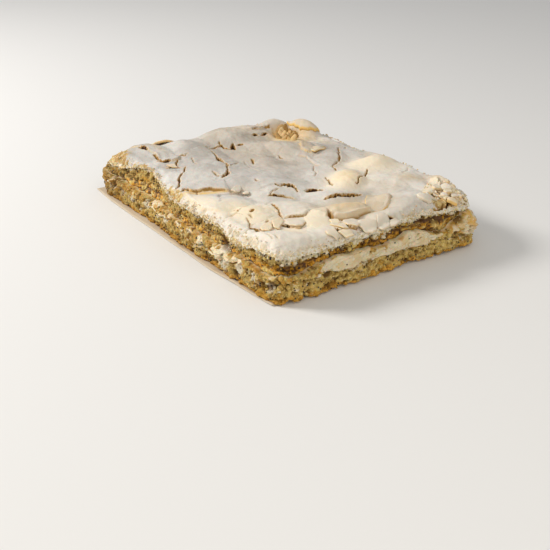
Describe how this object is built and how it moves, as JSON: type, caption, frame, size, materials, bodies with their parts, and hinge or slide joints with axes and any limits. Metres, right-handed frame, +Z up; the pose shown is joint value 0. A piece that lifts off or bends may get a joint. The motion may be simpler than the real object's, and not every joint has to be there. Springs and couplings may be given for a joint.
{
  "type": "poppy seed cake",
  "caption": "Rectangular slab of layered poppy seed cake with cream and a brown filling, under a cracked baked meringue top, on baking paper.",
  "frame": {"origin": "the base mount: the middle of the slab's plan, on the underside of the baking paper", "axes": "+Z up; +X along the long side, out of the short cut face; -Y out of the long cut face"},
  "size_m": [0.2548, 0.1816, 0.0446],
  "materials": {
    "baking_paper": "tan, slightly translucent baking paper",
    "sponge": "open beige crumb with dark seeds, golden brown at the base",
    "cream": "smooth ivory cream, satin",
    "caramel": "orange-brown, moist, with crumbs and seeds in it",
    "meringue": "dry, chalky, off-white with toasted edges"
  },
  "bodies": {
    "root": {"baking_paper": "baking_paper", "lower_sponge": "sponge", "cream_filling": "cream", "caramel_filling": "caramel", "upper_sponge": "sponge", "meringue": "meringue", "meringue_chip_1": "meringue", "meringue_chip_2": "meringue", "meringue_chip_3": "meringue"}
  },
  "joints": []
}
